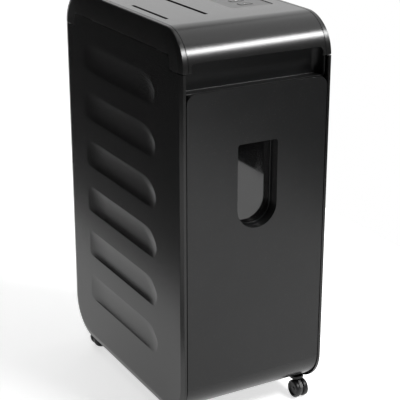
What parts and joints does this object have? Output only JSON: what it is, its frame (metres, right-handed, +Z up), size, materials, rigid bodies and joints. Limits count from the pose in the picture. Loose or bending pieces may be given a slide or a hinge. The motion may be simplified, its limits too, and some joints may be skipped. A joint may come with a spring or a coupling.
{
  "type": "paper shredder",
  "caption": "Tower paper shredder on casters: slots for sheets and discs on top, hand recess, and a pull-out bin drawer with a window.",
  "frame": {"origin": "on the floor, below the centre of the cabinet", "axes": "+Z up, front faces -Y, +X to the right seen from the front; the slots run along Y"},
  "size_m": [0.28, 0.45, 0.711],
  "materials": {
    "bin_grey_plastic": "grained grey plastic",
    "caster_nylon": "moulded black nylon",
    "circuit_board": "green solder mask",
    "dark_grey_plastic": "satin dark grey plastic",
    "gear_plastic": "natural nylon",
    "gloss_black_plastic": "polished black plastic",
    "hardened_steel": "hardened, ground and oiled",
    "inner_black_plastic": "matt black moulding",
    "satin_black_plastic": "satin moulded black plastic",
    "smoked_clear_plastic": "smoked clear acrylic, polished",
    "switch_black_plastic": "fine textured black plastic",
    "zinc_plated_steel": "zinc plated sheet"
  },
  "bodies": {
    "cabinet": {"back_panel": "satin_black_plastic", "base_tray": "inner_black_plastic", "circuit_board": "circuit_board", "control_panel": "switch_black_plastic", "cutter_plate_front": "zinc_plated_steel", "cutter_plate_rear": "zinc_plated_steel", "disc_guide": "inner_black_plastic", "drawer_rail_left": "zinc_plated_steel", "drawer_rail_right": "zinc_plated_steel", "gearbox_cover": "inner_black_plastic", "head_arch_left": "satin_black_plastic", "head_arch_right": "satin_black_plastic", "interlock_switch": "switch_black_plastic", "mechanism_shelf": "zinc_plated_steel", "motor_body": "zinc_plated_steel", "paper_guide": "inner_black_plastic", "paper_sensor": "switch_black_plastic", "power_inlet": "switch_black_plastic", "recess_fascia": "inner_black_plastic", "side_panel_left": "satin_black_plastic", "side_panel_right": "satin_black_plastic", "stripper_comb_left": "zinc_plated_steel", "stripper_comb_right": "zinc_plated_steel", "tie_bar_left": "zinc_plated_steel", "tie_bar_right": "zinc_plated_steel", "top_cover": "gloss_black_plastic"},
    "drawer": {"drawer_front": "dark_grey_plastic", "window_pane": "smoked_clear_plastic", "drawer_frame": "zinc_plated_steel", "bin_tub": "bin_grey_plastic", "disc_bin": "bin_grey_plastic"},
    "paper_drum_right": {"paper_cutter_right": "hardened_steel", "paper_gear_right": "gear_plastic", "drive_gear": "gear_plastic"},
    "paper_drum_left": {"paper_cutter_left": "hardened_steel", "paper_gear_left": "gear_plastic"},
    "disc_drum_right": {"disc_cutter_right": "hardened_steel", "disc_gear_right": "gear_plastic"},
    "disc_drum_left": {"disc_cutter_left": "hardened_steel", "disc_gear_left": "gear_plastic"},
    "idler": {"idler_gear": "gear_plastic"},
    "reduction": {"reduction_gear": "gear_plastic"},
    "motor_rotor": {"motor_pinion": "hardened_steel", "motor_fan": "inner_black_plastic"},
    "power_button": {"power_button": "satin_black_plastic"},
    "reverse_button": {"reverse_button": "satin_black_plastic"},
    "forward_button": {"forward_button": "satin_black_plastic"},
    "rocker_switch": {"rocker_switch": "switch_black_plastic"},
    "caster_front_left": {"caster_hood_front_left": "switch_black_plastic"},
    "wheels_front_left": {"caster_wheels_front_left": "caster_nylon"},
    "caster_front_right": {"caster_hood_front_right": "switch_black_plastic"},
    "wheels_front_right": {"caster_wheels_front_right": "caster_nylon"},
    "caster_rear_left": {"caster_hood_rear_left": "switch_black_plastic"},
    "wheels_rear_left": {"caster_wheels_rear_left": "caster_nylon"},
    "caster_rear_right": {"caster_hood_rear_right": "switch_black_plastic"},
    "wheels_rear_right": {"caster_wheels_rear_right": "caster_nylon"}
  },
  "joints": [
    {"name": "drawer_slide", "type": "slide", "parent": "cabinet", "child": "drawer", "axis": [0, -1, 0], "range_m": [0, 0.3]},
    {"name": "cutter_spin", "type": "hinge", "parent": "cabinet", "child": "paper_drum_right", "pos_m": [-0.0165, 0, 0.652], "axis": [0, 1, 0], "continuous": true},
    {"name": "left_cutter_spin", "type": "hinge", "parent": "cabinet", "child": "paper_drum_left", "pos_m": [-0.0555, 0, 0.652], "axis": [0, 1, 0], "continuous": true},
    {"name": "idler_spin", "type": "hinge", "parent": "cabinet", "child": "idler", "pos_m": [-0.08359, 0, 0.64147], "axis": [0, 1, 0], "continuous": true},
    {"name": "right_disc_cutter_spin", "type": "hinge", "parent": "cabinet", "child": "disc_drum_right", "pos_m": [-0.1, 0, 0.652], "axis": [0, 1, 0], "continuous": true},
    {"name": "left_disc_cutter_spin", "type": "hinge", "parent": "cabinet", "child": "disc_drum_left", "pos_m": [-0.118, 0, 0.652], "axis": [0, 1, 0], "continuous": true},
    {"name": "reduction_spin", "type": "hinge", "parent": "cabinet", "child": "reduction", "pos_m": [0.0235, 0, 0.652], "axis": [0, 1, 0], "continuous": true},
    {"name": "motor_spin", "type": "hinge", "parent": "cabinet", "child": "motor_rotor", "pos_m": [0.0595, 0, 0.652], "axis": [0, 1, 0], "continuous": true},
    {"name": "power_button_press", "type": "slide", "parent": "cabinet", "child": "power_button", "axis": [0, 0, -1], "range_m": [0, 0.0015], "stiffness_N_per_m": 400, "springref_m": -0.0005},
    {"name": "reverse_button_press", "type": "slide", "parent": "cabinet", "child": "reverse_button", "axis": [0, 0, -1], "range_m": [0, 0.0015], "stiffness_N_per_m": 400, "springref_m": -0.0005},
    {"name": "forward_button_press", "type": "slide", "parent": "cabinet", "child": "forward_button", "axis": [0, 0, -1], "range_m": [0, 0.0015], "stiffness_N_per_m": 400, "springref_m": -0.0005},
    {"name": "rocker_switch_tilt", "type": "hinge", "parent": "cabinet", "child": "rocker_switch", "pos_m": [0.0724, 0.2205, 0.182], "axis": [1, 0, 0], "range_deg": [-14, 0]},
    {"name": "caster_front_left_swivel", "type": "hinge", "parent": "cabinet", "child": "caster_front_left", "pos_m": [-0.12, -0.177, 0.034], "axis": [0, 0, 1], "continuous": true},
    {"name": "wheels_front_left_spin", "type": "hinge", "parent": "caster_front_left", "child": "wheels_front_left", "pos_m": [-0.11662, -0.18425, 0.0164], "axis": [0.9063, 0.4226, 0], "continuous": true},
    {"name": "caster_front_right_swivel", "type": "hinge", "parent": "cabinet", "child": "caster_front_right", "pos_m": [0.12, -0.177, 0.034], "axis": [0, 0, 1], "continuous": true},
    {"name": "wheels_front_right_spin", "type": "hinge", "parent": "caster_front_right", "child": "wheels_front_right", "pos_m": [0.12, -0.185, 0.0164], "axis": [1, 0, 0], "continuous": true},
    {"name": "caster_rear_left_swivel", "type": "hinge", "parent": "cabinet", "child": "caster_rear_left", "pos_m": [-0.12, 0.177, 0.034], "axis": [0, 0, 1], "continuous": true},
    {"name": "wheels_rear_left_spin", "type": "hinge", "parent": "caster_rear_left", "child": "wheels_rear_left", "pos_m": [-0.112, 0.177, 0.0164], "axis": [0, 1, 0], "continuous": true},
    {"name": "caster_rear_right_swivel", "type": "hinge", "parent": "cabinet", "child": "caster_rear_right", "pos_m": [0.12, 0.177, 0.034], "axis": [0, 0, 1], "continuous": true},
    {"name": "wheels_rear_right_spin", "type": "hinge", "parent": "caster_rear_right", "child": "wheels_rear_right", "pos_m": [0.116, 0.18393, 0.0164], "axis": [-0.866, -0.5, 0], "continuous": true}
  ],
  "couplings": [
    {"joint": "left_cutter_spin", "follows": "cutter_spin", "ratio": -1},
    {"joint": "idler_spin", "follows": "cutter_spin", "ratio": 1.8571},
    {"joint": "right_disc_cutter_spin", "follows": "cutter_spin", "ratio": -2.1667},
    {"joint": "left_disc_cutter_spin", "follows": "cutter_spin", "ratio": 2.1667},
    {"joint": "reduction_spin", "follows": "cutter_spin", "ratio": -3},
    {"joint": "motor_spin", "follows": "cutter_spin", "ratio": 10.5}
  ]
}
